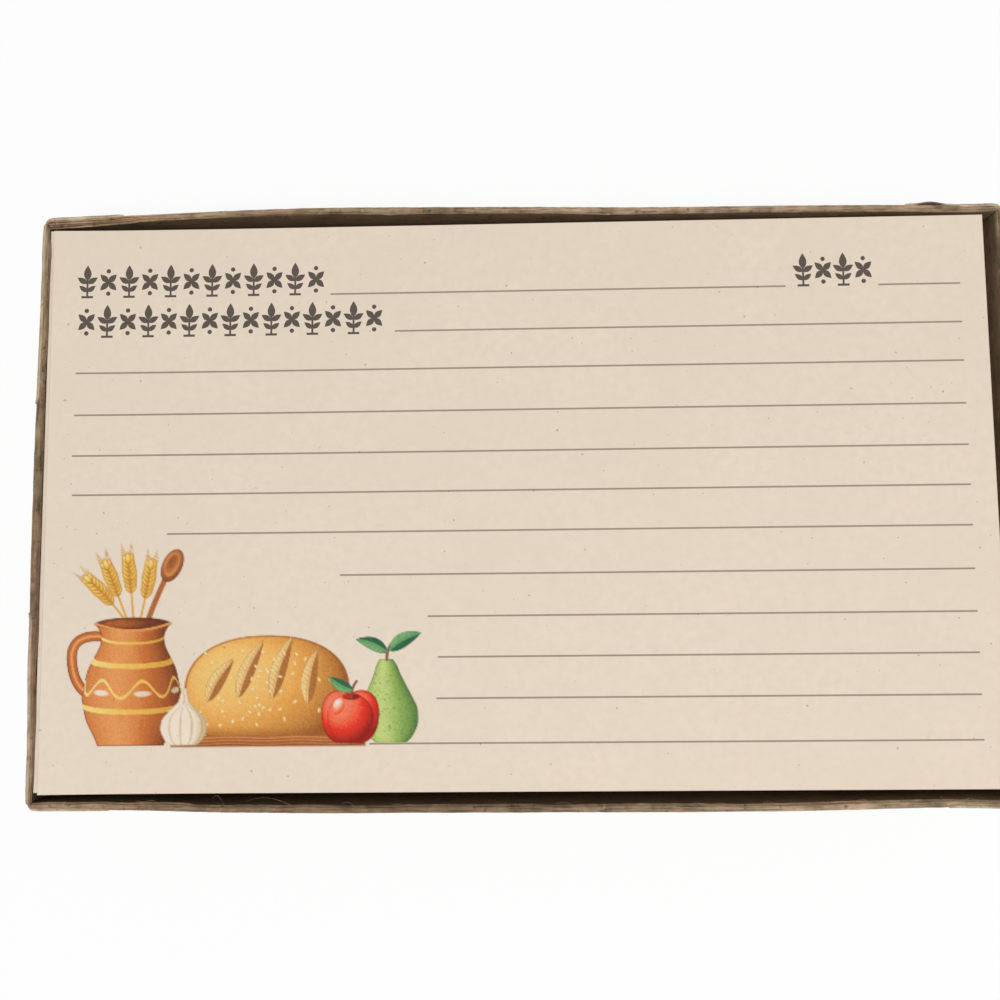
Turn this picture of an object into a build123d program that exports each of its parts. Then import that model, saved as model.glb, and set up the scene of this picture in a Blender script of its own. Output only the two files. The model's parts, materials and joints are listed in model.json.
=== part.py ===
from build123d import *
import math
import os

# Recipe card box: an open, set-up chipboard tray that holds a stack of index cards lying flat.
#
# The tray is one blank of raw grey chipboard. Four walls fold up along scored creases, and
# a square notch at each corner of the blank keeps the wall ends apart. A strip of paper tape,
# the corner stay, is glued round the outside of each corner and bridges the notch. Nothing
# holds the walls between their corners, so each one is straight along its fold and bows
# outwards along its rim.
#
# Millimetres, +Z up, +X along the length of the cards, +Y towards the top edge of the print.
# The origin is under the middle of the tray, on the surface that it stands on.

# Cards
CARD_LENGTH = 127.0  # 5 in
CARD_WIDTH = 76.2  # 3 in
CARD_THICKNESS = 0.30
CARD_COUNT = 48

# Room left in the tray round the stack
PLAY_LENGTH = 2.6  # end to end, both gaps together
PLAY_WIDTH = 1.90  # back to front, both gaps together
WALL_CLEARANCE = 0.05  # the least that any card keeps from a wall
RECESS = 0.5  # rim above the face of the top card

# Tray
BOARD = 0.85  # thickness of the chipboard
SCORE_RADIUS = 0.18  # half-round groove pressed along the inside of each fold
NOTCH_GAP = 0.12  # each wall ends this far short of the inner corner
BOW_BACK = 0.70  # how far each rim stands out at its middle
BOW_FRONT = 0.60
BOW_END = 0.20

# Corner stays
STAY_THICKNESS = 0.15
STAY_LEG_LONG = 10.4  # along the back and the front, measured from the inner corner
STAY_LEG_END = 25.0  # along each end
STAY_TOP_MARGIN = 0.08  # the tape ends this far below the rim
STAY_BOTTOM_MARGIN = 0.30  # and this far above the fold

# How loosely the stack lies: shares of the free play, from -1 to 1
TOP_ALONG, TOP_ACROSS, TOP_SKEW = -0.50, 0.52, 0.245
NEXT_ALONG, NEXT_ACROSS, NEXT_SKEW = -0.99, 0.55, 0.225
PILE_ALONG, PILE_ACROSS, PILE_SKEW = -0.64, 0.54, 0.21  # where the pile leans
PILE_SPREAD, PILE_WANDER = 0.20, 0.05  # how far its cards scatter along, and in the other two

# Sizes worked out from those above
inside_length = CARD_LENGTH + PLAY_LENGTH
inside_width = CARD_WIDTH + PLAY_WIDTH
stack_height = CARD_COUNT * CARD_THICKNESS
tray_height = BOARD + stack_height + RECESS
centre_y = (BOW_FRONT - BOW_BACK) / 2  # brings the middle of the tray's outline to the origin

# Each wall: its turn about Z from the back, its length, its distance out and its bow
WALLS = {
    "back": (0, inside_length, inside_width / 2, BOW_BACK),
    "left": (90, inside_width, inside_length / 2, BOW_END),
    "front": (180, inside_length, inside_width / 2, BOW_FRONT),
    "right": (270, inside_width, inside_length / 2, BOW_END),
}
STAY_LEGS = {"back": STAY_LEG_LONG, "left": STAY_LEG_END, "front": STAY_LEG_LONG, "right": STAY_LEG_END}
# Each corner stay: the wall before it and the wall after it, going anticlockwise from above
CORNERS = {
    "stay_back_left": ("back", "left"),
    "stay_front_left": ("left", "front"),
    "stay_front_right": ("front", "right"),
    "stay_back_right": ("right", "back"),
}


def layer_outline(length, near, far, bow):
    """Face between two lines along +X, near and far from the middle, each bowed outwards."""
    half = length / 2
    if bow == 0:
        return make_face(Polyline((-half, near), (half, near), (half, far), (-half, far), close=True))
    inner_line = ThreePointArc((-half, near), (0, near + bow), (half, near))
    outer_line = ThreePointArc((half, far), (0, far + bow), (-half, far))
    ends = Line((half, near), (half, far)) + Line((-half, far), (-half, near))
    return make_face(inner_line + outer_line + ends)


def wall_layer(wall, near, far):
    """Layer of one wall, from near to far outside its inner face: straight at its foot, bowed at its rim."""
    turn, length, out, bow = WALLS[wall]
    foot = Pos(0, 0, BOARD) * layer_outline(length, out + near, out + far, 0)
    rim = Pos(0, 0, tray_height) * layer_outline(length, out + near, out + far, bow)
    return Rot(0, 0, turn) * loft([foot, rim], ruled=True)


def stretch(wall, start, end, low, high):
    """Block that takes in one wall from start to end along it and from low to high."""
    turn, _, out, bow = WALLS[wall]
    depth = 4 * (BOARD + STAY_THICKNESS + bow)
    middle = Pos((start + end) / 2, out, (low + high) / 2)
    return Rot(0, 0, turn) * middle * Box(end - start, depth, high - low)


def upright(wall):
    """One wall of the blank, above its fold."""
    half = WALLS[wall][1] / 2 - NOTCH_GAP
    return wall_layer(wall, 0, BOARD) & stretch(wall, -half, half, 0, 2 * tray_height)


def fold(wall):
    """Quarter-round bend of the board between the floor and one wall, about the inner crease."""
    turn, length, out, _ = WALLS[wall]
    quarter = Circle(BOARD) & Pos(BOARD / 2, -BOARD / 2) * Rectangle(BOARD, BOARD)
    bend = extrude(Plane.YZ * quarter, amount=length / 2 - NOTCH_GAP, both=True)
    return Rot(0, 0, turn) * Pos(0, out, BOARD) * bend


def score(wall):
    """Rod that presses the groove along the inside of one fold."""
    turn, length, out, _ = WALLS[wall]
    rod = Rot(0, 90, 0) * Cylinder(SCORE_RADIUS, length - 2 * NOTCH_GAP)
    return Rot(0, 0, turn) * Pos(0, out, BOARD) * rod


def tray():
    """The folded blank: floor, four folds and four bowed walls, with the notches left open."""
    blank = Pos(0, 0, BOARD / 2) * Box(inside_length, inside_width, BOARD)
    for wall in WALLS:
        blank += fold(wall)
        blank += upright(wall)
    for wall in WALLS:
        blank -= score(wall)
    return blank


def stay(before, after):
    """Paper tape round one corner: a leg on each wall and a rounded bridge over the notch."""
    low = BOARD + STAY_BOTTOM_MARGIN
    high = tray_height - STAY_TOP_MARGIN
    turn, length, out, _ = WALLS[before]
    leg_before = wall_layer(before, BOARD, BOARD + STAY_THICKNESS) & stretch(
        before, -length / 2, STAY_LEGS[before] - length / 2, low, high
    )
    half = WALLS[after][1] / 2
    leg_after = wall_layer(after, BOARD, BOARD + STAY_THICKNESS) & stretch(
        after, half - STAY_LEGS[after], half, low, high
    )
    side = 2 * (BOARD + STAY_THICKNESS)
    ring = Circle(BOARD + STAY_THICKNESS) - Circle(BOARD)
    quarter = ring & Pos(-side / 2, side / 2) * Rectangle(side, side)
    bridge = Rot(0, 0, turn) * Pos(-length / 2, out, low) * extrude(quarter, amount=high - low)
    return leg_before + bridge + leg_after


def card_place(index):
    """Offset along X, offset along Y and turn in degrees of one card, counted from the bottom."""
    if index == CARD_COUNT - 1:
        along, across, skew = TOP_ALONG, TOP_ACROSS, TOP_SKEW
    elif index == CARD_COUNT - 2:
        along, across, skew = NEXT_ALONG, NEXT_ACROSS, NEXT_SKEW
    else:
        along = PILE_ALONG + PILE_SPREAD * math.sin(1.7 * index)
        across = PILE_ACROSS + PILE_WANDER * math.sin(2.3 * index + 1)
        skew = PILE_SKEW + PILE_WANDER * math.sin(0.9 * index + 2)
    slope = skew * (PLAY_WIDTH / 2) / (CARD_LENGTH / 2)
    free_along = PLAY_LENGTH / 2 - WALL_CLEARANCE - abs(slope) * CARD_WIDTH / 2
    free_across = PLAY_WIDTH / 2 - WALL_CLEARANCE - abs(slope) * CARD_LENGTH / 2
    return along * free_along, across * free_across, math.degrees(math.asin(slope))


def card(index):
    """One card, where it lies in the stack."""
    x, y, turn = card_place(index)
    z = BOARD + (index + 0.5) * CARD_THICKNESS
    return Pos(x, y, z) * Rot(0, 0, turn) * Box(CARD_LENGTH, CARD_WIDTH, CARD_THICKNESS)


def write(name, shape):
    """Writes one sub-part, moved so that the middle of the tray's outline is over the origin."""
    shape = Pos(0, centre_y, 0) * shape
    shape.label = name
    export_step(shape, f"parts/{name}.step")


os.makedirs("parts", exist_ok=True)
write("tray", tray())
for stay_name, (before, after) in CORNERS.items():
    write(stay_name, stay(before, after))
for index in range(CARD_COUNT):
    write(f"card_{index + 1:02d}", card(index))
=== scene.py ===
"""Recipe card box: the looks of the chipboard tray, its corner stays and its printed cards."""

import json
import math

import bmesh
import bpy
import numpy as np
from mathutils import Euler, Matrix, Vector, noise
from mathutils.geometry import delaunay_2d_cdt

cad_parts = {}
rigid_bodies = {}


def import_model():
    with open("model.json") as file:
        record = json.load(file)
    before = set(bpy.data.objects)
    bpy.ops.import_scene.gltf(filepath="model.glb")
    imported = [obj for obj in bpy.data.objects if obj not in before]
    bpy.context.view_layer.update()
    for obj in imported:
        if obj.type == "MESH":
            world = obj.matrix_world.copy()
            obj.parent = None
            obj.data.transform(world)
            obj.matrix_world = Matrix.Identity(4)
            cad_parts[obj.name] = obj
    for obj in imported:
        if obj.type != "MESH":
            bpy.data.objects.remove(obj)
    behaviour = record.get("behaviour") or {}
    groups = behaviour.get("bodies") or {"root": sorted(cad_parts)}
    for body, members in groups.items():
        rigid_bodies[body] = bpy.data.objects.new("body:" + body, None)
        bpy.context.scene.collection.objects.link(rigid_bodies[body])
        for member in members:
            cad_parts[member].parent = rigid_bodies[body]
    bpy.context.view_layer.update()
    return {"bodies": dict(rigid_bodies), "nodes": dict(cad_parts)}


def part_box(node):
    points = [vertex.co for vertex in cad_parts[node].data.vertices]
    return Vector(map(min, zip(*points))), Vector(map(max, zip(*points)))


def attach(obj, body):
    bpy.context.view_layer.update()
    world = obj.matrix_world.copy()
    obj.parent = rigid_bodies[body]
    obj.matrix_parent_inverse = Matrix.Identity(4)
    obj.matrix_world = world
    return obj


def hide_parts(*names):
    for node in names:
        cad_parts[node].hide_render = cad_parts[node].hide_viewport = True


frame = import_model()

MM = 0.001

# Camera, in millimetres and degrees from the middle of the top card's face
CAMERA_PLACE = Vector((0.29, -9.54, 118.51))
CAMERA_TURN = Euler([math.radians(a) for a in (4.623, 1.296, -0.610)])
LENS, SENSOR = 32.0, 36

# Tray and stays, in millimetres
BOARD = 0.85  # its thickness, and the outer radius of each fold
BOW = {"back": 0.70, "front": 0.60, "left": 0.20, "right": 0.20}
STAY_THICKNESS = 0.15
STAY_LEG = {"back": 10.4, "front": 10.4, "left": 25.0, "right": 25.0}
TORN_LEG = ("stay_back_right", "back")  # the end of one strip was torn off longer, and has come loose
TORN_LENGTH = 12.4
TORN_HELD = 5.5  # how far along itself it still holds the rim

# How the old board has moved, in millimetres at the rim
RACK = 0.0034  # the ends lean along the box by this share of their place across it
SEAM = 0.03  # left between two wall ends where they meet
LUMPS = {  # place along the wall from -1 to 1, width as a share of half the wall, height
    "back": (
        (-0.46, 0.25, 0.26), (0.27, 0.22, -0.18), (-0.10, 0.90, 0.11),
        (-0.60, 0.55, 0.15), (0.48, 0.50, -0.18), (1.0, 0.12, -0.42),
    ),
    "front": (
        (0.82, 0.13, -0.22), (0.42, 0.15, 0.06), (-0.40, 0.18, 0.06),
        (-0.86, 0.12, -0.06), (-1.15, 1.10, -0.38), (0.10, 0.50, -0.15),
        (-0.53, 0.14, 0.05), (-1.0, 0.25, -0.22), (1.02, 0.05, 0.15),
    ),
    "left": (
        (0.0, 0.45, 0.08), (0.72, 0.22, -0.08), (-0.78, 0.20, -0.10),
        (-0.56, 0.10, 0.10), (-0.95, 0.10, -0.06),
    ),
    "right": ((-0.2, 0.4, 0.08),),
}
# How far the rim has spread inwards and outwards
LIP = {"back": (0.0, 0.0), "left": (0.24, 0.0), "front": (0.24, 0.10), "right": (0.05, 0.0)}
BURRS = {  # where the rim is crushed inwards: place, width, reach in millimetres
    "back": ((-1.0, 0.20, 0.55), (-0.23, 0.10, 0.26), (0.19, 0.08, 0.20), (0.6, 0.3, 0.07)),
    "front": ((1.0, 0.07, 0.20), (0.72, 0.05, 0.10)),
    "left": ((0.0, 0.6, 0.16), (-0.80, 0.20, -0.17)),
    "right": (),
}
HOLLOWS = {  # where the stack has pressed the upper part of a wall's inner face back: place, width, depth
    "left": ((0.0, 3.0, 0.06), (-0.85, 0.30, 0.09)),
}
STAINS = {  # where handling has darkened the rim: place, width, depth as a share
    "back": ((-0.45, 0.30, 0.20),),
    "front": ((0.25, 0.42, 0.46),),
    "left": ((0.0, 0.36, 0.30), (0.0, 2.5, 0.14), (0.75, 0.30, 0.12)),
    "right": ((-0.3, 0.4, 0.2),),
}

low_corner, high_corner = (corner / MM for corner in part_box("tray"))
HEIGHT = high_corner.z
INSIDE_LENGTH = high_corner.x - low_corner.x - 2 * BOARD - BOW["left"] - BOW["right"]
INSIDE_WIDTH = high_corner.y - low_corner.y - 2 * BOARD - BOW["back"] - BOW["front"]
CENTRE_Y = (BOW["front"] - BOW["back"]) / 2
STAY_LOW, STAY_HIGH = (corner.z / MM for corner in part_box("stay_back_left"))
HALF_ARC = BOARD * math.pi / 4  # half the way round a fold, over its outer face

# Each wall: its turn about Z from the back, its length and its distance out
WALLS = {
    "back": (0, INSIDE_LENGTH, INSIDE_WIDTH / 2),
    "left": (90, INSIDE_WIDTH, INSIDE_LENGTH / 2),
    "front": (180, INSIDE_LENGTH, INSIDE_WIDTH / 2),
    "right": (270, INSIDE_WIDTH, INSIDE_LENGTH / 2),
}
CORNERS = {
    "stay_back_left": ("back", "left"),
    "stay_front_left": ("left", "front"),
    "stay_front_right": ("front", "right"),
    "stay_back_right": ("right", "back"),
}

# Cards
CARDS = sorted(name for name in frame["nodes"] if name.startswith("card_"))
LOOSE = sorted(set(CARDS) & set(frame["bodies"]))  # each one a body of its own
PILE = [name for name in CARDS if name not in LOOSE]
PRINTED = [PILE[-1], *LOOSE]  # those whose print can be seen at some pose

# Print, in millimetres from the middle of the card
RULE_WIDTH = 0.24
RULES = (  # height of each rule and where it starts; the old print spaced them unevenly
    (28.64, -25.2), (23.35, -16.4), (18.09, -60.0), (12.30, -60.05), (6.73, -60.2), (1.39, -60.05),
    (-3.97, -47.1), (-9.71, -23.75), (-15.27, -12.05), (-20.62, -10.7), (-26.01, -10.95), (-31.82, -19.8),
)
MARGIN = 60.05  # where they all end
LABEL_GAP = (36.7, 49.1)  # where the first rule stops for a short label
ART_LOW, ART_HIGH = Vector((-60.6, -32.4)), Vector((-12.0, -4.3))


def srgb(r, g, b):
    """Linear colour of an sRGB colour given as 0 to 255."""
    return np.array([c / 255 / 12.92 if c <= 10 else ((c / 255 + 0.055) / 1.055) ** 2.4 for c in (r, g, b)])


def ramp(low, high, value):
    """0 at low, 1 at high, smooth between them; low may be the larger."""
    t = np.clip((value - low) / (high - low), 0, 1)
    return t * t * (3 - 2 * t)


# ---- materials

PAPER = srgb(229, 213, 194)
INK = srgb(89, 79, 70)
RULE_INK = srgb(155, 142, 125)
BOARD_LIGHT = srgb(180, 158, 132)
BOARD_DARK = srgb(110, 91, 71)
PINKISH = np.array((1.05, 0.97, 0.96))
OLIVE = np.array((0.98, 1.0, 0.94))
SHADE_AND_GRIME = np.array((1.0, 0.87, 0.70))  # brown tint multiplied in where the Tone colours are darkest: mostly over painted shade, also over stains
FLECK = srgb(150, 128, 100)
PALE_FLECK = srgb(214, 201, 178)
RIM_CONTRAST = (13.8, 15.2)  # mm up the walls between which the board's full contrast comes in
WHITE = (1.0, 1.0, 1.0)
TAPE_LIGHT = srgb(188, 170, 145)
TAPE_DARK = srgb(138, 120, 98)


def node(tree, kind, settings=None, **inputs):
    """Adds a shader node, with its settings, and its inputs by name (spaces written as _)."""
    made = tree.nodes.new("ShaderNode" + kind)
    for name, value in (settings or {}).items():
        setattr(made, name, value)
    for name, value in inputs.items():
        plug(tree, made.inputs[name.replace("_", " ")], value)
    return made


def rgba(colour):
    """An opaque colour, as a socket or a colour layer takes it."""
    return (*[float(c) for c in colour], 1.0)


def plug(tree, socket, value):
    """Gives a socket a number, a colour or another node's output."""
    if hasattr(value, "is_output"):
        tree.links.new(value, socket)
    elif isinstance(value, np.ndarray):
        socket.default_value = rgba(value)
    else:
        socket.default_value = value


def cloud(tree, scale, detail=3.0, rough=0.55, stretch=(1, 1, 1)):
    """Noise over the object's own coordinates, scale in features per metre."""
    where = node(tree, "TexCoord").outputs["Object"]
    placed = node(tree, "Mapping", Vector=where, Scale=stretch).outputs[0]
    made = node(tree, "TexNoise", Vector=placed, Scale=scale, Detail=detail, Roughness=rough)
    return made.outputs[0]


def band(tree, value, low, high, to_low=0.0, to_high=1.0):
    """Maps value from low..high to to_low..to_high, clamped."""
    made = node(tree, "MapRange", Value=value, From_Min=low, From_Max=high,
                To_Min=to_low, To_Max=to_high)
    return made.outputs[0]


def mix(tree, share, one, two, how="MIX"):
    """Mixes two colours by a share that is a number or an output."""
    made = node(tree, "Mix", {"data_type": "RGBA", "blend_type": how})
    for index, value in ((0, share), (6, one), (7, two)):
        plug(tree, made.inputs[index], value)
    return made.outputs[2]


def maths(tree, operation, one, two):
    """Combines two values, each a number or an output."""
    made = node(tree, "Math", {"operation": operation})
    plug(tree, made.inputs[0], one)
    plug(tree, made.inputs[1], two)
    return made.outputs[0]


def painted(tree, layer):
    """Colour of a mesh's own colour layer."""
    return node(tree, "VertexColor", {"layer_name": layer}).outputs[0]


def surface(name, colour_of, roughness, bump_of, bump_depth):
    """A Principled material: the two functions take the node tree and give an output."""
    material = bpy.data.materials.new(name)
    material.use_nodes = True
    tree = material.node_tree
    shader = tree.nodes["Principled BSDF"]
    shader.inputs["Specular IOR Level"].default_value = 0.25
    tree.links.new(colour_of(tree), shader.inputs["Base Color"])
    scale, smooth, rough = roughness
    tree.links.new(band(tree, cloud(tree, scale), 0.3, 0.7, smooth, rough), shader.inputs["Roughness"])
    bump = node(tree, "Bump", Strength=1.0, Distance=bump_depth * MM, Height=bump_of(tree))
    tree.links.new(bump.outputs[0], shader.inputs["Normal"])
    return material


def paper_material(name, printed, warmth=0.0):
    """Index card: cream, faintly cloudy, with sparse fibre specks, and print from the Print colours."""
    base = PAPER * (1 - np.array([0.3, 0.6, 1.0]) * warmth)

    def colour(tree):
        tone = mix(tree, band(tree, cloud(tree, 70.0), 0.3, 0.7), base * 0.975, base * 1.02)
        tone = mix(tree, band(tree, cloud(tree, 900.0, 2.0), 0.35, 0.7), tone, base * 0.96)
        specks = band(tree, cloud(tree, 1500.0, 1.0, 0.4), 0.765, 0.80, 0.0, 0.55)
        tone = mix(tree, specks, tone, FLECK)
        if not printed:
            return tone
        return mix(tree, 1.0, tone, painted(tree, "Print"), "MULTIPLY")

    def bump(tree):
        return cloud(tree, 2600.0, 3.0, 0.6)

    return surface(name, colour, (500.0, 0.62, 0.78), bump, 0.012)


def board_material(name, light, dark, grain):
    """Grey-brown board or tape: mottled pulp, long fibres, flecks, and the Tone colours."""
    rim = [level * MM for level in RIM_CONTRAST]

    def colour(tree):
        pulp = band(tree, cloud(tree, 260.0, 5.0, 0.65), 0.30, 0.70)
        tone = mix(tree, pulp, dark, light)
        along = cloud(tree, 650.0, 4.0, 0.6, grain)
        tone = mix(tree, band(tree, along, 0.42, 0.68, 0.0, 0.75), tone, light * 1.15)
        dirt = band(tree, cloud(tree, 1100.0, 2.0, 0.5), 0.62, 0.72, 0.0, 0.65)
        tone = mix(tree, dirt, tone, dark * 0.55)
        pale = band(tree, cloud(tree, 1700.0, 1.0, 0.5, (1, 0.6, 1)), 0.70, 0.78, 0.0, 0.35)
        tone = mix(tree, pale, tone, PALE_FLECK)
        where = node(tree, "TexCoord").outputs["Object"]
        up = node(tree, "SeparateXYZ", Vector=where).outputs[2]
        tone = mix(tree, band(tree, up, *rim, 0.6, 1.0), (light + dark) / 2, tone)
        patches = mix(tree, band(tree, cloud(tree, 300.0, 3.0), 0.42, 0.58), PINKISH, OLIVE)
        tone = mix(tree, 1.0, tone, patches, "MULTIPLY")
        # the Tone colours: wear and stains, with painted shade on the inner faces, the rim's inner side and
        # the ply gaps
        worn = painted(tree, "Tone")
        shade_and_grime_tint = mix(tree, band(tree, worn, 0.25, 0.85), SHADE_AND_GRIME, np.ones(3))
        return mix(tree, 1.0, mix(tree, 1.0, tone, worn, "MULTIPLY"), shade_and_grime_tint, "MULTIPLY")

    def bump(tree):
        return maths(tree, "ADD", cloud(tree, 700.0, 5.0, 0.65), cloud(tree, 900.0, 4.0, 0.6, grain))

    return surface(name, colour, (400.0, 0.82, 0.96), bump, 0.07)


# ---- mesh helpers


def wobble(x, y=0.0, z=0.0):
    """Smooth noise from -1 to 1, fixed for each point."""
    return noise.noise(Vector((x, y, z)))


def beyond(x, y, reach, angle):
    """The point a reach away from x, y, in the direction of an angle in radians."""
    return x + reach * math.cos(angle), y + reach * math.sin(angle)


def bumps(table, t):
    """Sum of smooth bumps along a wall, each with its place, width and height."""
    return sum(height * math.exp(-((t - middle) / width) ** 2) for middle, width, height in table)


def risen(z):
    """How far up the walls a height is, from 0 at the floor to 1 at the rim."""
    return max(0.0, (z - BOARD) / (HEIGHT - BOARD))


def wall_point(wall, along, out, z):
    """Point in metres, from a distance along a wall, out from its inner face, and up."""
    turn, length, distance = WALLS[wall]
    t = min(1.0, max(-1.0, 2 * along / length))
    bow = BOW[wall] * (1 - t * t) + bumps(LUMPS[wall], t) * (1 - t ** 8)
    return upright_point(turn, along, distance + out + bow * risen(z), z)


def upright_point(turn, along, out, z):
    """Point in metres of the racked tray, from its place in the frame of a wall."""
    cos, sin = math.cos(math.radians(turn)), math.sin(math.radians(turn))
    x, y = along * cos - out * sin, along * sin + out * cos
    return Vector((x - RACK * y * risen(z), y + CENTRE_Y, z)) * MM


def sweep(bm, layer, rings):
    """Joins closed rings of points with their tones into a tube with closed ends."""
    made = [[bm.verts.new(point) for point, _ in ring] for ring in rings]
    tone_of = {v: tone for row, ring in zip(made, rings) for v, (_, tone) in zip(row, ring)}
    count = len(made[0])
    faces = []
    for one, two in zip(made, made[1:]):
        for i in range(count):
            j = (i + 1) % count
            faces.append(bm.faces.new((one[i], one[j], two[j], two[i])))
    faces.append(bm.faces.new(list(reversed(made[0]))))
    faces.append(bm.faces.new(made[-1]))
    for face in faces:
        face.smooth = True
        for loop in face.loops:
            loop[layer] = rgba(np.ones(3) * tone_of[loop.vert])


def add_object(name, data):
    """Puts a mesh, a light or a camera into the scene."""
    made = bpy.data.objects.new(name, data)
    bpy.context.scene.collection.objects.link(made)
    return made


def finish_mesh(bm, name, material):
    """Turns a bmesh into an object with outward normals and one material."""
    bmesh.ops.recalc_face_normals(bm, faces=bm.faces)
    mesh = bpy.data.meshes.new(name)
    bm.to_mesh(mesh)
    bm.free()
    mesh.materials.append(material)
    return add_object(name, mesh)


# ---- tray

RIM_STEP, RIM_POINTS = 0.35, 17  # step along the rim, and points across it
FOLD_POINTS = 8  # points round the fold under a wall
PRESSED = {  # how far the tape is pressed in over a corner
    "stay_back_left": 0.22, "stay_front_left": 0.27, "stay_front_right": 0.08, "stay_back_right": 0.22,
}
RIM_SEED = {"back": 3.1, "left": 17.4, "front": 29.8, "right": 41.5}
# Painted shade on each wall's inner face, as a tone at its two ends; on the right it is lifted above the
# board's own tone
INSIDE_SHADE = {"back": (0.27, 0.40), "left": (0.42, 0.42), "front": (0.46, 0.20), "right": (1.10, 1.10)}
# Up the inner face to the rim: share of the rim's reach, depth below it, share of the tone, by which the
# painted shade lightens towards the rim
LIP_PROFILE = ((0.03, 1.0, 1.0), (0.08, 0.62, 1.0), (0.30, 0.42, 1.1), (1.0, 0.32, 1.5))
OUTER_WEAR = ((0.16, 1.0), (0.4, 0.5), (0.9, 0.2), (1.75, 0.0))  # depth below the rim, share of the wear
UNDER_TAPE = 0.22  # how far the board's edge is worn back where the tape folds over it
SHOULDER = {"back": 0.0, "left": 0.15, "front": 0.03, "right": 0.10}  # how far both lean in at the very rim
PLIES = ((0.26, 0.06, 0.44), (0.50, 0.06, 0.42), (0.77, 0.06, 0.50))  # place across, width, darkness painted into the gap as shade
# Where the plies gape: place, width, strength
SPLITS = {"back": ((-0.94, 0.17, 2.4),), "front": ((0.80, 0.14, 0.5),), "left": ((-0.6, 0.3, 1.0),)}
FRESH = np.array((1.07, 0.98, 0.95))  # hue of board that has only lately torn
HAIR, HAIR_STEPS = 0.018, 9  # thickness of a hair, and rings along it
HAIRS = {"front": (34, 0.55), "back": (22, 0.18), "left": (8, 0.02), "right": (14, 0.8)}  # count, lean
FRONT_HAIRS = ((30.2, 6.4, -1.15), (39.2, 1.8, -1.3), (-53.8, 0.5, -0.6))  # longest: place, length, lean
QUARTERS = ((1, 0), (0, 1), (-1, 0), (0, -1))


def corner_at(wall, sign):
    """The stay at one end of a wall."""
    return next(name for name, pair in CORNERS.items() if pair[0 if sign < 0 else 1] == wall)


def leg_length(name, wall):
    """How far a stay reaches along a wall."""
    return TORN_LENGTH if (name, wall) == TORN_LEG else STAY_LEG[wall]


def rim_wear(wall, along):
    """How far the inner and outer edges of the rim are worn back at one place, and how low it sits."""
    seed = RIM_SEED[wall]
    half = WALLS[wall][1] / 2
    coarse = wobble(along * 0.11, seed)
    ragged = wobble(along * 0.55, seed, 5) + 0.5 * wobble(along * 1.5, seed, 9)
    torn = ramp(0.10, 0.40, coarse) * (0.12 + 0.08 * wobble(along * 2.6, seed, 2))
    lip_in, lip_out = (lip * (0.75 + 0.45 * wobble(along * 0.16, seed, 30)) for lip in LIP[wall])
    lip_in = lip_in * ramp(1.0, 0.9, abs(along) / half) + bumps(BURRS[wall], along / half)
    inner = max(0.0, 0.05 + 0.08 * ragged + torn) * (0.2 if wall == "left" else 1.0) - lip_in
    stay = corner_at(wall, along)
    leg = TORN_HELD if (stay, wall) == TORN_LEG else leg_length(stay, wall)
    covered = ramp(leg, leg - 1.2, half - abs(along))
    outer = max(0.0, 0.015 + 0.03 * wobble(along * 0.8, seed, 13)) - lip_out
    outer += (UNDER_TAPE + SHOULDER[wall]) * covered
    low = max(0.0, 0.02 + 0.05 * wobble(along * 0.4, seed, 21) + 0.03 * ragged)
    return inner, outer, low


def wall_ring(wall, along):
    """Section of one wall and its fold at one place: points as (out, up, tone)."""
    inner, outer, low = rim_wear(wall, along)
    seed = RIM_SEED[wall]
    t = 2 * along / WALLS[wall][1]
    stain = 1 - bumps(STAINS[wall], t)
    # inside: the painted shade of the inner face at this place
    inside = np.interp(t, (-0.9, 0.6), INSIDE_SHADE[wall])
    top = HEIGHT - 0.02 - low
    split = bumps(SPLITS.get(wall, ()), t)
    hue = 1 + min(1.0, split) * (FRESH - 1)
    points = [(0.10, BOARD, inside)]
    hollow = bumps(HOLLOWS.get(wall, ()), t)
    for z in (BOARD + 0.25, 3.0, 6.0, 9.0, 12.0, 14.0):
        points.append((hollow * ramp(3, 11, z), z, inside))
    for share, depth, tone in LIP_PROFILE:
        worn = stain if share == 1.0 else 1.0
        points.append((hollow * (1 - share) + inner * share, HEIGHT - depth, inside * tone * worn))
    width = BOARD - inner - outer
    for share in np.linspace(0, 1, RIM_POINTS):
        across = inner + width * share
        ply = 0.0
        for centre, spread, depth in PLIES:
            drift = centre + 0.10 * wobble(along * 0.22, centre * 9, seed)
            open_here = ramp(-0.12, 0.30, wobble(along * 0.30, centre * 31, seed))
            # ply: a groove where the plies gape, with painted shade in it
            ply += depth * math.exp(-((share - drift) / spread) ** 2) * max(open_here, split)
        round_off = 0.22 * ramp(0.38, 0.0, share) + 0.04 * ramp(0.90, 1.0, share)
        rough = 0.04 * wobble(along * 2.2, across * 6, seed)
        # the inner half of the cut rim is darker than the outer: painted shade
        tone = 0.66 + 0.36 * ramp(0.0, 0.55, share) + 0.12 * ramp(0.84, 1.0, share) - ply
        tone += 0.20 * wobble(along * 0.9, across * 5, seed + 4)
        tone += 0.12 * wobble(along * 3.1, across * 9, seed + 6)
        tone = stain * min(1.3, max(0.28, tone))
        points.append((across, top - 0.25 * ply - round_off - abs(rough), hue * tone))
    points += [(BOARD - outer * share, HEIGHT - depth, 1.04) for depth, share in OUTER_WEAR[:-1]]
    points += [(BOARD, z, 1.0) for z in (14.0, 11.0, 8.0, 5.0, 2.5)]
    for angle in np.linspace(0, math.pi / 2, FOLD_POINTS):
        points.append((BOARD * math.cos(angle), BOARD - BOARD * math.sin(angle), 0.96))
    return points


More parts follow.
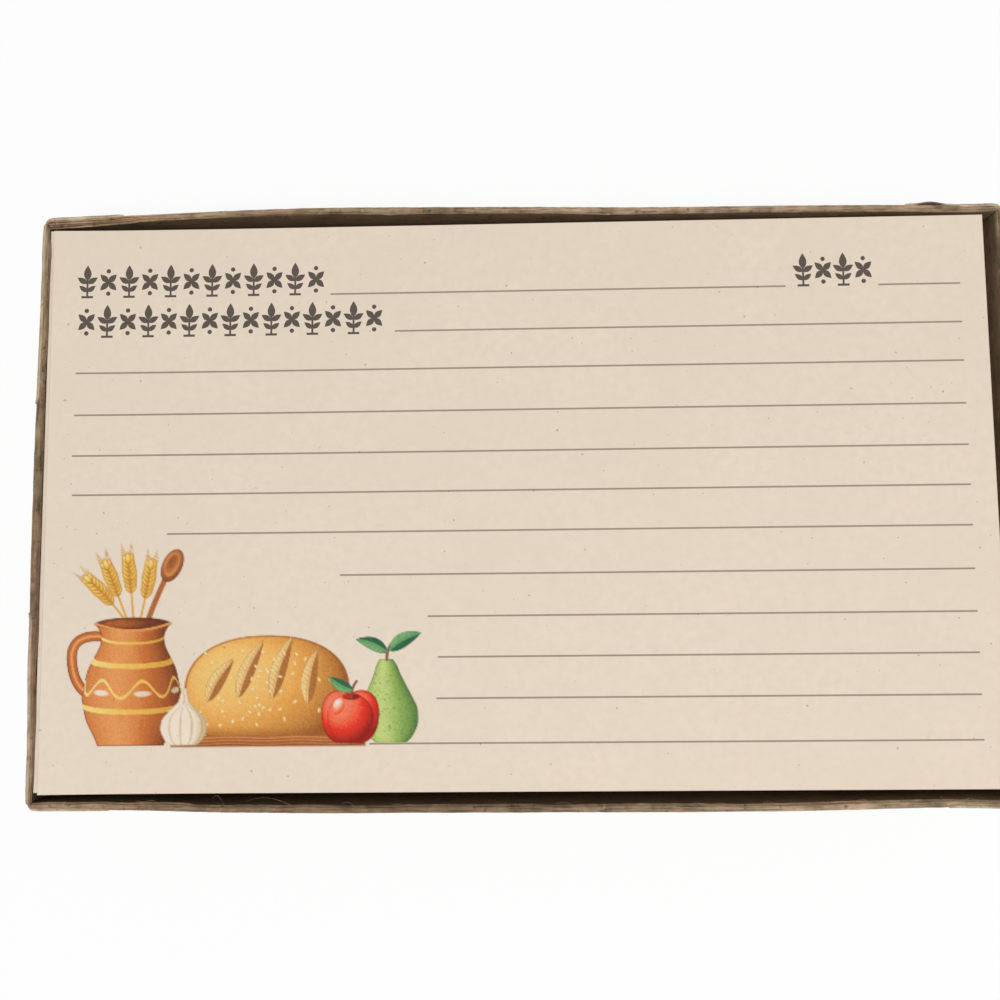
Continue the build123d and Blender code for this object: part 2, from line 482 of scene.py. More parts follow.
def mitre(wall, out, z, along, half):
    """How far the crushed end of a wall reaches past its crease, to meet the next wall under the tape."""
    radius = BOARD - UNDER_TAPE * ramp(HEIGHT - 0.9, HEIGHT - 0.2, z)
    if out <= 0 or out >= radius:
        return 0.0
    flat = BOARD - PRESSED[corner_at(wall, along)]
    reach = max(0.0, min(out, math.sqrt(radius ** 2 - out ** 2), flat * math.sqrt(2) - out))
    return reach * ramp(BOARD + 0.4, BOARD + 1.6, z) * ramp(half - 0.5, half, abs(along))


def add_wall(bm, layer, wall):
    """One wall with its fold and its cut rim, swept from end to end."""
    half = WALLS[wall][1] / 2 - SEAM
    count = int(2 * half / RIM_STEP)
    places = [-half, -half + 0.12, *np.linspace(-half + 0.3, half - 0.3, count), half - 0.12, half]
    rings = []
    for along in places:
        ring = []
        for out, z, tone in wall_ring(wall, along):
            past = math.copysign(mitre(wall, out, z, along, half), along)
            ring.append((wall_point(wall, along + past, out, z), tone))
        rings.append(ring)
    sweep(bm, layer, rings)


def add_floor(bm, layer):
    """Floor of the tray: flat underneath, faintly cockled above, with a groove along each fold."""
    xs = np.linspace(-INSIDE_LENGTH / 2, INSIDE_LENGTH / 2, 80)
    ys = np.linspace(-INSIDE_WIDTH / 2, INSIDE_WIDTH / 2, 50)
    for rows in (xs, ys):
        rows[1], rows[-2] = rows[0] + 0.35, rows[-1] - 0.35
    rings = []
    for x in xs:
        ring = []
        for y in ys:
            groove = 0.14 if x in (xs[0], xs[-1]) or y in (ys[0], ys[-1]) else 0.0
            up = BOARD - groove - 0.02 * abs(wobble(x * 0.2, y * 0.2, 7))
            ring.append((Vector((x, y + CENTRE_Y, up)) * MM, 0.85))
        ring += [(Vector((x, y + CENTRE_Y, 0.0)) * MM, 1.0) for y in reversed(ys)]
        rings.append(ring)
    sweep(bm, layer, rings)


def add_fibre(bm, layer, wall, along, out, up, reach, lean):
    """One loose hair of pulp: a thin curved thread along a wall."""
    rings = []
    for t in np.linspace(0, 1, HAIR_STEPS):
        place = along + reach * t
        off = out + lean * math.sin(2.6 * t)
        rise = up + 0.12 * math.sin(4 * t + along)
        size = HAIR * (1 - 0.6 * t)
        ring = [wall_point(wall, place, off + size * x, rise + size * y) for x, y in QUARTERS]
        rings.append([(point, 1.15) for point in ring])
    sweep(bm, layer, rings)


def add_fibres(bm, layer):
    """Hairs that stand off the cut rim, most of them where the gap beside the cards is widest."""
    rng = np.random.default_rng(11)
    for wall, (count, inward) in HAIRS.items():
        half = WALLS[wall][1] / 2 - 3
        for _ in range(count):
            along = rng.uniform(-half, half - 3)
            reach = rng.uniform(0.8, 3.2)
            out = rng.uniform(0.05, 0.5)
            up = HEIGHT - rng.uniform(0.12, 0.35)
            add_fibre(bm, layer, wall, along, out, up, reach, -rng.uniform(0.2, 1.0) * inward)
    for along, reach, lean in FRONT_HAIRS:
        add_fibre(bm, layer, "front", along, 0.1, HEIGHT - 0.15, reach, lean)


def build_tray(material):
    """The base: four walls, the floor they fold up from, and the hairs of the rim."""
    bm = bmesh.new()
    layer = bm.loops.layers.float_color.new("Tone")
    for wall in WALLS:
        add_wall(bm, layer, wall)
    add_floor(bm, layer)
    add_fibres(bm, layer)
    tray = finish_mesh(bm, "tray_board", material)
    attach(tray, "box")
    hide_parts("tray")


# ---- corner stays

LOOSE_AT, LOOSE_RUN, LOOSE_OUT = 8.9, 1.5, 0.38  # where the torn strip has come off, over what, how far
TAPE_TONE = {"back": 1.04, "left": 0.84, "front": 0.95, "right": 0.98}
FLARE = {"back": 0.09, "left": 0.04, "front": 0.05, "right": 0.06}  # how far its top edge stands off
STAY_ROWS = (0.0, 0.04, 0.15, 0.3, 0.45, 0.6, 0.72, 0.82, 0.89, 0.93, 0.955, 0.975, 0.99, 1.0)  # up it


def stay_point(name, travel, depth, z):
    """Point of a corner stay: travel from the corner's middle, depth out from the board, and up."""
    before, after = CORNERS[name]
    if travel < -HALF_ARC:
        return wall_point(before, -WALLS[before][1] / 2 - (travel + HALF_ARC), BOARD + depth, z)
    if travel > HALF_ARC:
        return wall_point(after, WALLS[after][1] / 2 - (travel - HALF_ARC), BOARD + depth, z)
    turn, length, distance = WALLS[before]
    share = travel / HALF_ARC / 2 + 0.5
    radius = BOARD + depth - PRESSED[name] * math.sin(math.pi * share)
    angle = math.radians(90 + 90 * share)
    return upright_point(turn, *beyond(-length / 2, distance, radius, angle), z)


def stay_travels(name):
    """Places along a stay, closer together round the corner and at its torn ends."""
    places = list(np.linspace(-HALF_ARC, HALF_ARC, 11))
    for wall, side in zip(CORNERS[name], (-1, 1)):
        leg = leg_length(name, wall)
        steps = [*np.arange(0.4, leg - 0.7, 0.4), leg - 0.5, leg - 0.3, leg - 0.15, leg - 0.05, leg]
        places += [side * (HALF_ARC + step) for step in steps]
    return sorted(places)


def near_top(below, depth):
    """1 at a stay's top edge and 0 from a depth under it down."""
    return max(0.0, 1 - below / depth)


def board_edge(wall, place, z):
    """How far a wall's outer face is worn back behind a stay, at one place and height."""
    past = max(0.0, abs(place) - HALF_ARC)
    outer = rim_wear(wall, math.copysign(WALLS[wall][1] / 2 - past, place))[1]
    depths, shares = zip(*OUTER_WEAR)
    return outer * np.interp(HEIGHT - z, depths, shares)


def build_stay(name, material, seed):
    """Paper tape round one corner, folded over the board's worn edge, with torn ends and cockles."""
    bm = bmesh.new()
    layer = bm.loops.layers.float_color.new("Tone")
    rings = []
    for place in stay_travels(name):
        wall = CORNERS[name][int(place > 0)]
        past = abs(place) - HALF_ARC
        share = max(0.0, past / leg_length(name, wall))
        flare = FLARE[wall] * (0.75 + 0.6 * wobble(place * 0.35, seed, 40)) * ramp(0.0, 0.06, share)
        flare *= ramp(1.0, 0.93, share)
        loose = bumps(((LOOSE_AT, LOOSE_RUN, 1.0),), past) if (name, wall) == TORN_LEG else 0.0
        frayed = 0.08 * abs(wobble(place * 0.9, seed, 4)) + 0.05 * abs(wobble(place * 3.5, seed, 8))
        top = STAY_HIGH - (0.03 + frayed + 0.12 * loose)
        outer, inner = [], []
        for h in STAY_ROWS:
            ragged = 0.12 * (1 + wobble(h * 9, seed, place)) * share ** 24
            travel = math.copysign(abs(place) - ragged, place)
            z = STAY_LOW + (top - STAY_LOW) * h
            away = flare * near_top(top - z, 0.9) ** 2 + LOOSE_OUT * loose * ramp(0.35, 0.95, h)
            away -= SHOULDER[wall] * near_top(top - z, 0.6) ** 2 * ramp(1.0, 0.95, share)
            cockle = 0.02 * (1 + wobble(place * 0.35, h * 3, seed))
            thick = STAY_THICKNESS - 0.02 + 0.04 * near_top(top - z, 0.35) * ramp(0.0, 0.06, share)
            worn = ramp(0.93, 1.0, h) + ramp(0.96, 1.0, share)
            pale = 0.98 + 0.30 * min(1.0, worn) + 0.12 * wobble(place * 1.3, h * 5, seed)
            behind = 0.005 + away - board_edge(wall, place, z) * (1 - ramp(0.3, 0.8, loose))
            # the loose flap of the torn strip is darkened towards its top edge: painted shade
            pale *= TAPE_TONE[wall] * (1 - 0.6 * min(1.0, 2.2 * loose) * ramp(0.5, 0.9, h))
            outer.append((stay_point(name, travel, thick + away - cockle, z), pale))
            # the tape's back is a darker tone, darker still behind the loose flap: painted shade
            inner.append((stay_point(name, travel, behind, z), pale if h > 0.98 else 0.7 - 0.3 * loose))
        rings.append(outer + inner[::-1])
    sweep(bm, layer, rings)
    piece = finish_mesh(bm, f"{name}_tape", material)
    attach(piece, "box")
    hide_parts(name)


# ---- still life printed on the cards

# Colours of the print: dark, middle and light of each thing
CLAY = [srgb(112, 52, 22), srgb(196, 108, 48), srgb(236, 164, 96)]
GOLD = [srgb(186, 124, 42), srgb(238, 190, 88), srgb(252, 228, 150)]
CRUST = [srgb(150, 84, 30), srgb(222, 156, 72), srgb(248, 208, 128)]
CRUMB = [srgb(206, 150, 82), srgb(246, 218, 150), srgb(253, 238, 196)]
WOOD = [srgb(120, 62, 26), srgb(176, 104, 50), srgb(214, 146, 84)]
RED = [srgb(140, 18, 12), srgb(224, 48, 24), srgb(248, 138, 100)]
GREEN = [srgb(74, 112, 52), srgb(142, 172, 84), srgb(208, 216, 134)]
LEAF = [srgb(22, 76, 52), srgb(58, 128, 84), srgb(140, 184, 116)]
CREAM = [srgb(190, 162, 118), srgb(244, 232, 206), srgb(255, 250, 238)]
SOFT = 0.07  # mm over which a printed edge fades


class Picture:
    """Points of a picture, in millimetres, and their linear colours, painted shape by shape."""

    def __init__(self, x, y):
        self.x = x
        self.y = y
        self.colour = np.tile(PAPER, (len(x), 1))
        self.grain = np.random.default_rng(5).normal(0, 1, len(x))

    def paint(self, mask, colour, strength=1.0):
        """Lays a colour over the picture, as far as the mask and the strength say."""
        self.colour += (mask * strength)[:, None] * (colour - self.colour)

    def line(self, mask, value, reach, tones, level, strength=1.0):
        """Paints in one tone where a value passes from the bare end of a reach to its covered end."""
        self.paint(mask * ramp(*reach, value), self.shade(tones, level), strength)

    def shade(self, tones, light):
        """Colour of each point, from the dark, middle and light tones, by how lit it is from 0 to 1."""
        light = np.clip(light + 0.045 * self.grain, 0, 1)
        channels = [np.interp(light, (0.0, 0.55, 1.0), channel) for channel in np.transpose(tones)]
        return np.stack(channels, axis=1)

    def ball(self, centre, radii, tones, turn=0.0, power=2.0, keep=1.0, edge=0.12):
        """Paints a round solid with a darker outline; keep masks it."""
        angle = math.radians(turn)
        dx, dy = self.x - centre[0], self.y - centre[1]
        u = (dx * math.cos(angle) + dy * math.sin(angle)) / radii[0]
        v = (dy * math.cos(angle) - dx * math.sin(angle)) / radii[1]
        reach = (np.abs(u) ** power + np.abs(v) ** power) ** (1 / power)
        depth = (1 - reach) * min(radii)
        inside = ramp(-SOFT, SOFT, depth) * keep
        facing = np.sqrt(np.clip(1 - reach ** 2, 0, 1))
        across = (dx / max(radii), dy / max(radii))
        lit = 0.62 * facing - 0.36 * across[0] + 0.40 * across[1] + 0.10
        self.paint(inside, self.shade(tones, lit))
        self.line(inside, depth, (edge + SOFT, edge - SOFT), tones, 0.04, 0.75)
        return inside

    def turned(self, centre, heights, widths, tones, lean=0.0):
        """Paints a thrown or grown body from its half widths at several heights; gives its mask and u."""
        fine = np.linspace(heights[0], heights[-1], 80)
        smooth = np.interp(fine, heights, widths)
        for _ in range(12):
            smooth[1:-1] = (smooth[:-2] + 2 * smooth[1:-1] + smooth[2:]) / 4
        half = np.interp(self.y, fine, smooth, left=0.01, right=0.01)
        u = (self.x - centre - lean * (self.y - heights[0])) / half
        ends = np.minimum(self.y - heights[0], heights[-1] - self.y)
        depth = np.minimum((1 - np.abs(u)) * half, ends)
        inside = ramp(-SOFT, SOFT, depth)
        lit = 0.86 - 0.80 * np.clip(np.abs(u + 0.38) / 1.3, 0, 1.2) ** 1.6
        self.paint(inside, self.shade(tones, lit))
        self.line(inside, depth, (0.14 + SOFT, 0.14 - SOFT), tones, 0.03, 0.75)
        return inside, np.clip(u, -1, 1)

    def stroke(self, points, width, tones, level, taper=0.0):
        """Paints a line through the points; taper thins it towards its end."""
        best = np.full(len(self.x), 1e9)
        lengths = np.cumsum([0] + [math.dist(a, b) for a, b in zip(points, points[1:])])
        for (a, b), start in zip(zip(points, points[1:]), lengths):
            run = np.array(b) - np.array(a)
            size = max(1e-9, float(run @ run))
            t = np.clip(((self.x - a[0]) * run[0] + (self.y - a[1]) * run[1]) / size, 0, 1)
            away = np.hypot(self.x - a[0] - t * run[0], self.y - a[1] - t * run[1])
            far = (start + t * math.sqrt(size)) / lengths[-1]
            best = np.minimum(best, away - width / 2 * (1 - taper * far))
        self.line(1.0, best, (SOFT, -SOFT), tones, level)

    def leaf(self, start, end, width, tones, bend=0.0):
        """Paints a pointed leaf with a midrib and side veins."""
        run = np.array(end) - np.array(start)
        length = float(np.hypot(*run))
        along, side = run / length, np.array((-run[1], run[0])) / length
        dx, dy = self.x - start[0], self.y - start[1]
        t = (dx * along[0] + dy * along[1]) / length
        inner = np.clip(t, 0, 1)
        s = dx * side[0] + dy * side[1] - bend * np.sin(math.pi * inner)
        half = width / 2 * np.sin(math.pi * inner ** 0.8) ** 0.8
        depth = np.where((t > 0) & (t < 1), half - np.abs(s), -1)
        inside = ramp(-SOFT, SOFT, depth)
        self.paint(inside, self.shade(tones, 0.5 + 0.35 * np.sign(s) * ramp(0, 0.3, np.abs(s))))
        veins = np.abs(((t * length - 0.6 * np.abs(s)) / 0.62) % 1 - 0.5)
        self.line(inside * ramp(0.1, 0.25, depth), veins, (0.14, 0.04), tones, 0.05, 0.4)
        self.line(inside, np.abs(s), (0.12, 0.03), tones, 0.9, 0.7)
        self.line(inside, depth, (0.14, 0.05), tones, 0.02, 0.6)


def bezier(start, middle, end, count=14):
    """Points along a simple curve."""
    curve = []
    for i in range(count):
        t = i / (count - 1)
        shares = ((1 - t) ** 2, 2 * t * (1 - t), t * t)
        curve.append(tuple(sum(s * c for s, c in zip(shares, place)) for place in zip(start, middle, end)))
    return curve


def paint_ear(art, root, middle, tip):
    """An ear of wheat on its stalk: awns first, then paired grains, lowest first."""
    path = bezier(root, middle, tip, 60)
    art.stroke(path[:40], 0.30, GOLD, 0.30)
    grains = []
    for place in range(30, 60, 4):
        (x0, y0), (x1, y1) = path[place - 1], path[min(place + 1, 59)]
        heading = math.atan2(y1 - y0, x1 - x0)
        size = 1.0 - 0.25 * abs(place - 42) / 18
        for side in (-1, 1):
            grains.append((path[place][0], path[place][1], heading, side, size))
    for x, y, heading, side, size in grains:
        end = beyond(x, y, 3.0 * size, heading + side * 0.30)
        art.stroke([(x, y), end], 0.13, GOLD, 0.18, taper=0.5)
    for x, y, heading, side, size in grains:
        centre = beyond(x, y, 0.46 * size, heading + side * 1.45)
        turn = math.degrees(heading + side * 0.42)
        art.ball(centre, (0.98 * size, 0.44 * size), GOLD, turn, 1.7)
    art.ball(path[-1], (0.9, 0.4), GOLD, math.degrees(grains[-1][2]), 1.7)


def paint_jug(art):
    """A thrown clay jug that holds wheat and a wooden spoon."""
    centre = -51.4
    mouth = -15.9
    art.stroke(bezier((-49.6, mouth), (-48.0, -11.5), (-47.0, -9.6)), 0.75, WOOD, 0.5)
    art.ball((-46.3, -8.2), (2.3, 1.35), WOOD, 66)
    art.ball((-46.3, -8.1), (1.6, 0.8), WOOD[::-1], 66, edge=0.05)
    for root, middle, tip in (
        (-52.2, (-54.3, -12.7), (-57.6, -9.9)),
        (-50.6, (-49.6, -11.8), (-49.2, -8.0)),
        (-52.0, (-53.8, -11.3), (-55.2, -8.0)),
        (-51.3, (-51.8, -10.8), (-52.3, -7.2)),
    ):
        paint_ear(art, (root, mouth), middle, tip)
    handle = bezier((-55.0, -17.6), (-60.3, -16.8), (-59.3, -21.6))
    handle += bezier((-59.3, -21.6), (-58.8, -24.4), (-56.6, -25.4))
    for width, level in ((1.35, 0.02), (1.05, 0.50), (0.35, 0.88)):
        art.stroke(handle, width, CLAY, level)
    heights = (-31.9, -31.0, -28.6, -25.4, -21.8, -18.8, -17.3, -15.9)
    widths = (4.4, 4.7, 6.0, 6.7, 5.9, 4.3, 4.1, 5.0)
    inside, u = art.turned(centre, heights, widths, CLAY)
    level = art.y + 0.9 * np.sqrt(1 - u ** 2)
    around = np.arcsin(u) * 7.0
    for height, width in ((-17.6, 0.16), (-20.6, 0.34), (-26.6, 0.34)):
        art.line(inside, np.abs(level - height), (width + SOFT, width - SOFT), GOLD, 0.5 - 0.3 * u)
    wave = -23.7 + 1.1 * np.sin(around)
    art.line(inside, np.abs(level - wave), (0.28, 0.12), GOLD, 0.62 - 0.3 * u)
    dots = np.hypot((around / math.pi + 0.5) % 2 - 1, (level + 23.7 + 0.55) / 0.9) * 0.7
    art.line(inside, dots, (0.36, 0.20), CREAM, 0.5 - 0.3 * u, 0.8)
    art.ball((centre, mouth), (5.0, 0.85), [CLAY[0] * 0.5, CLAY[0], CLAY[1]], edge=0.16)
    lip = bezier((centre - 4.9, mouth), (centre, mouth - 1.75), (centre + 4.9, mouth))
    art.stroke(lip, 0.30, CLAY, 0.85)


def paint_loaf(art):
    """A round loaf with scored crust, on a board."""
    up = art.y + 31.35
    board = np.minimum(12.9 - np.abs(art.x + 33.2), 0.75 - np.abs(up))
    grain = 0.5 + 0.3 * np.sin(art.y * 16 + 1.2 * np.sin(art.x * 0.7)) + 0.25 * up
    art.line(1.0, board, (-SOFT, SOFT), WOOD, grain)
    over = ramp(-30.75, -30.60, art.y)
    loaf = art.ball((-33.4, -25.0), (11.0, 7.4), CRUST, 0, 2.3, over, 0.2)
    art.line(loaf, art.y, (-29.3, -30.8), CRUST, 0.02, 0.6)
    for x, y, turn, length in (
        (-39.6, -23.4, 58, 3.3), (-35.6, -22.0, 66, 4.1), (-31.4, -21.8, 72, 4.3), (-27.4, -23.0, 80, 3.6),
    ):
        low, high = (beyond(x, y, way * length, math.radians(turn)) for way in (-1, 1))
        art.leaf(low, high, 2.1, CRUST[:1] + CRUMB[:2], 0.35)
    rng = np.random.default_rng(8)
    for _ in range(46):
        x, y = rng.uniform(-42.5, -24.5), rng.uniform(-29.5, -19.5)
        art.ball((x, y), (0.32, 0.16), CRUMB, rng.uniform(0, 180), keep=loaf, edge=0.02)


def paint_garlic(art):
    """A bulb of garlic, its cloves parted by lines that meet at the neck."""
    heights = (-31.9, -31.4, -30.0, -28.6, -27.3, -26.4, -25.2, -24.4)
    inside, u = art.turned(-44.4, heights, (1.5, 2.4, 3.1, 3.0, 1.9, 0.8, 0.45, 0.38), CREAM)
    for centre in (-0.62, -0.15, 0.36, 0.80):
        away = np.abs(u - centre * np.clip((art.y + 25.4) / -2.2, 0.2, 1))
        art.line(inside, away, (0.085, 0.02), CREAM, 0.02, 0.75)


def paint_fruit(art):
    """A green pear behind a red apple."""
    heights = (-31.8, -31.2, -29.4, -27.2, -24.8, -22.8, -21.4, -20.8)
    inside, _ = art.turned(-16.9, heights, (1.8, 2.7, 3.7, 3.8, 2.7, 1.75, 1.3, 0.8), GREEN, lean=-0.06)
    rng = np.random.default_rng(3)
    for _ in range(70):
        spot = (rng.uniform(-20.5, -13.5), rng.uniform(-31, -21.5))
        art.ball(spot, (0.11, 0.11), LEAF, keep=inside * 0.6, edge=0.0)
    art.stroke(bezier((-17.5, -20.9), (-17.5, -19.6), (-16.8, -18.8)), 0.42, WOOD, 0.2)
    art.leaf((-17.2, -19.7), (-12.9, -17.4), 1.9, LEAF, 0.3)
    art.leaf((-17.4, -19.9), (-21.6, -18.2), 1.7, LEAF, -0.3)
    for x, turn in ((-23.6, 6), (-21.0, -6)):
        art.ball((x, -28.3), (2.5, 3.45), RED, turn, 2.2)
    art.ball((-22.3, -28.5), (3.1, 3.25), RED, edge=0.0)
    art.ball((-23.9, -26.9), (0.75, 1.15), [RED[1], RED[2], CREAM[2]], -25, edge=0.0)
    art.ball((-22.2, -25.7), (1.15, 0.42), [RED[0] * 0.7, RED[0], RED[1]], edge=0.0)
    art.stroke(bezier((-22.2, -25.9), (-22.2, -24.6), (-21.5, -23.7)), 0.36, WOOD, 0.1)
    art.leaf((-22.0, -24.9), (-25.2, -23.1), 1.5, LEAF, 0.2)


def still_life(step):
    """Points of the inked picture on a grid, and their colours as shares of the paper's."""
    x, y = np.meshgrid(*(np.linspace(a, b, int((b - a) / step)) for a, b in zip(ART_LOW, ART_HIGH)))
    art = Picture(x.ravel(), y.ravel())
    for thing in (paint_jug, paint_loaf, paint_garlic, paint_fruit):
        thing(art)
    inked = (np.abs(art.colour - PAPER).max(axis=1) > 0.004).reshape(x.shape)
    near = inked.copy()
    for shift, axis in ((1, 0), (-1, 0), (1, 1), (-1, 1)):
        near |= np.roll(inked, shift, axis)
    near = near.ravel()
    places = np.stack([art.x, art.y], axis=1)[near]
    return places, np.clip(art.colour[near] / PAPER, 0, 1.05)


# ---- ornament in the place of each heading


def petal(x, y, length, width, turn):
    """Outline of a pointed leaf that starts at x, y, anticlockwise."""
    cos, sin = math.cos(math.radians(turn)), math.sin(math.radians(turn))
    outline = []
    for t, side in [(i / 7, -1) for i in range(8)] + [(i / 7, 1) for i in range(6, 0, -1)]:
        off = side * width / 2 * math.sin(math.pi * t ** 0.85)
        outline.append((x + t * length * cos - off * sin, y + t * length * sin + off * cos))
    return outline


def dot(x, y, radius):
    """Outline of a round dot, anticlockwise."""
    return [beyond(x, y, radius, angle) for angle in np.linspace(0, 2 * math.pi, 11)[:-1]]


def bar(x0, x1, y0, y1, step=9.0):
    """Outline of an upright oblong, anticlockwise, with a point about every step along it."""
    xs = np.linspace(x0, x1, max(2, math.ceil((x1 - x0) / step)))
    return [(float(x), y0) for x in xs] + [(float(x), y1) for x in reversed(xs)]


def sprig(x, y, size):
    """A small printer's flower: an upright leaf, two pairs of side leaves and a foot."""
    parts = [petal(x, y + 0.2 * size, 2.1 * size, 1.00 * size, 90)]
    for turn in (32, 148):
        parts.append(petal(x, y - 0.15 * size, 1.55 * size, 0.76 * size, turn))
        parts.append(petal(x, y - 1.25 * size, 1.35 * size, 0.66 * size, turn - (turn - 90) * 0.1))
    parts.append(bar(x - 0.13 * size, x + 0.13 * size, y - 1.9 * size, y + 0.3 * size))
    parts.append(bar(x - 0.75 * size, x + 0.75 * size, y - 2.1 * size, y - 1.8 * size))
    return parts


def lozenge(x, y, size):
    """A star of four leaves with dots above and below."""
    parts = [petal(x, y, 1.5 * size, 0.80 * size, turn) for turn in (45, 135, 225, 315)]
    for up, radius in ((1.5, 0.30), (-1.5, 0.30), (0, 0.26)):
        parts.append(dot(x, y + up * size, radius * size))
    return parts


FLOWER_SIZE = 1.05
FLOWER_ROWS = (  # first and last place, height, count, and the kinds that take turns
    (-58.7, -27.2, 30.75, 12, (sprig, lozenge)),
    (39.1, 47.2, 30.75, 4, (sprig, lozenge)),
    (-58.7, -19.2, 25.2, 15, (lozenge, sprig)),
)


def ornaments():
    """Outlines of every inked shape other than the picture, rules first, and how many are rules."""
    shapes = []
    for y, start in RULES:
        ends = ((start, LABEL_GAP[0]), (LABEL_GAP[1], MARGIN)) if y == RULES[0][0] else ((start, MARGIN),)
        for x0, x1 in ends:
            shapes.append(bar(x0, x1, y - RULE_WIDTH / 2, y + RULE_WIDTH / 2, 3.0))
    rules = len(shapes)
    for first, last, y, count, kinds in FLOWER_ROWS:
        for i, x in enumerate(np.linspace(first, last, count)):
            shapes += kinds[i % 2](x, y, FLOWER_SIZE)
    return shapes, rules


# ---- printed cards

CURL = 0.36  # mm by which the stack's left edge has lifted, at its top
LIFT = 0.18  # and how much more the top card's own left edge stands up
LIFT_FROM, LIFT_RUN = -52, 12  # where that starts along the box, and how far on it is complete
CARD_HALF = (63.5, 38.1)
ARRIS = 0.06  # how far each edge of a card is rounded off
ARRIS_SHADE = (0.74, 0.72, 0.68)  # painted shade on each card's rounded top edge, for the thin dark line where the cards meet
SLID = {CARDS[-2]: ((-0.19, 0.03), -0.0012)}  # mm and radians by which handling has moved a card since


def card_place(name):
    """Where a card lies, in millimetres: centre, half sizes, turn, underside and face."""
    points = np.array([v.co for v in frame["nodes"][name].data.vertices]) / MM
    x, y, z = points.T
    right = points[[np.argmax(x + y), np.argmax(x - y)], :2].mean(axis=0)
    left = points[[np.argmin(x - y), np.argmin(x + y)], :2].mean(axis=0)
    top = points[[np.argmax(x + y), np.argmin(x - y)], :2].mean(axis=0)
    slid, swing = SLID.get(name, ((0.0, 0.0), 0.0))
    centre = (left + right) / 2 + slid
    run = right - left
    half = (float(np.hypot(*run)) / 2, float(np.hypot(*(top - (left + right) / 2))))
    return centre, half, math.atan2(run[1], run[0]) + swing, float(z.min()), float(z.max())


def rim_points(half, step):
    """Outline of a card, anticlockwise, with a point about every step."""
    outline = []
    corners = [(-half[0], -half[1]), (half[0], -half[1]), (half[0], half[1]), (-half[0], half[1])]
    for (x0, y0), (x1, y1) in zip(corners, corners[1:] + corners[:1]):
        count = round(math.dist((x0, y0), (x1, y1)) / step)
        outline += [(x0 + (x1 - x0) * i / count, y0 + (y1 - y0) * i / count) for i in range(count)]
    return outline


def lattice(half, step):
    """Inner points of a card on a coarse grid."""
    xs, ys = (np.arange(step - reach, reach - step / 2, step) for reach in half)
    return [(float(x), float(y)) for x in xs for y in ys]


def sheet_curl(x, y):
    """Shape that every card of the stack shares: from 0 where it lies flat to 1 at its lifted left edge."""
    left = max(0.0, (-30 - x) / 34) ** 2
    rest = (x / CARD_HALF[0]) ** 2 * ramp(-10, 60, x) + (y / CARD_HALF[1]) ** 2 * ramp(-20, 40, y)
    return 0.92 * left + 0.12 * rest + 0.04 * (1 + wobble(x / 40, y / 40, 3))


def face_of(points, loop, shapes):
    """Cuts a face into triangles: its points, triangles, each point's sources and each triangle's shape."""
    points = [Vector(p) for p in points]
    edges = [(i, (i + 1) % loop) for i in range(loop)]
    faces = []
    for outline in shapes:
        faces.append(list(range(len(points), len(points) + len(outline))))
        points += [Vector(p) for p in outline]
    flat, _, triangles, sources, _, owners = delaunay_2d_cdt(points, edges, faces, 0, 1e-6)
    return flat, triangles, sources, owners


def outline_verts(verts, sources, count):
    """The vertex at each point of a face's outline, in order."""
    found = {source: vert for vert, own in zip(verts, sources) for source in own}
    return [found[i] for i in range(count)]


def build_card(name, material, picture, curl):
    """One printed card: its face cut along the print, soft edges, and the curl that the stack shares."""
    centre, half, turn, low, high = card_place(name)
    body = name if name in frame["bodies"] else "card_pile"
    places, print_colours = picture
    inner_half = (half[0] - ARRIS, half[1] - ARRIS)
    outline = rim_points(inner_half, 1.5)
    count = len(outline)
    inner = [p for p in lattice(inner_half, 3.0) if not (p[0] < ART_HIGH.x and p[1] < ART_HIGH.y)]
    points = outline + inner + [tuple(p) for p in places]
    first_print = count + len(inner)
    shapes, rules = ornaments()
    flat, triangles, sources, owners = face_of(points, count, shapes)
    cos, sin = math.cos(turn), math.sin(turn)
    lift = LIFT if name == CARDS[-1] else 0.0

    def place(x, y, z):
        wx, wy = centre[0] + x * cos - y * sin, centre[1] + x * sin + y * cos
        raised = curl * sheet_curl(wx, wy) + lift * max(0.0, (LIFT_FROM - wx) / LIFT_RUN) ** 2
        return Vector((wx, wy, z + raised)) * MM

    bm = bmesh.new()
    layer = bm.loops.layers.float_color.new("Print")
    verts = [bm.verts.new(place(*p, high)) for p in flat]
    tint = {}
    for vert, own in zip(verts, sources):
        for source in own:
            if first_print <= source < len(points):
                tint[vert] = print_colours[source - first_print]
    for triangle, shape in zip(triangles, owners):
        face = bm.faces.new([verts[i] for i in triangle])
        face.smooth = True
        ink = (RULE_INK if shape and shape[0] < rules else INK) / PAPER
        for loop in face.loops:
            loop[layer] = rgba(ink if shape else tint.get(loop.vert, WHITE))
    grow = [(x * half[0] / inner_half[0], y * half[1] / inner_half[1]) for x, y in outline]
    rings = [outline_verts(verts, sources, count)]
    for z in (high - ARRIS, low + ARRIS):
        rings.append([bm.verts.new(place(x, y, z)) for x, y in grow])
    under_flat, under_triangles, under_sources, _ = face_of(outline + lattice(inner_half, 6.0), count, [])
    under = [bm.verts.new(place(*p, low)) for p in under_flat]
    rings.append(outline_verts(under, under_sources, count))
    plain = [(bm.faces.new([under[i] for i in reversed(t)]), WHITE) for t in under_triangles]
    # the rounded top edge takes the painted shade; the sides and the lower edge stay plain paper
    for one, two, tone in zip(rings, rings[1:], (ARRIS_SHADE, WHITE, WHITE)):
        for i in range(count):
            j = (i + 1) % count
            plain.append((bm.faces.new((one[i], two[i], two[j], one[j])), tone))
    for i in range(count):
        bm.edges.get((rings[0][i], rings[0][(i + 1) % count])).smooth = False
    for face, tone in plain:
        for loop in face.loops:
            loop[layer] = rgba(tone)
    piece = finish_mesh(bm, f"{name}_printed", material)
    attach(piece, body)
    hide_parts(name)


# ---- the object

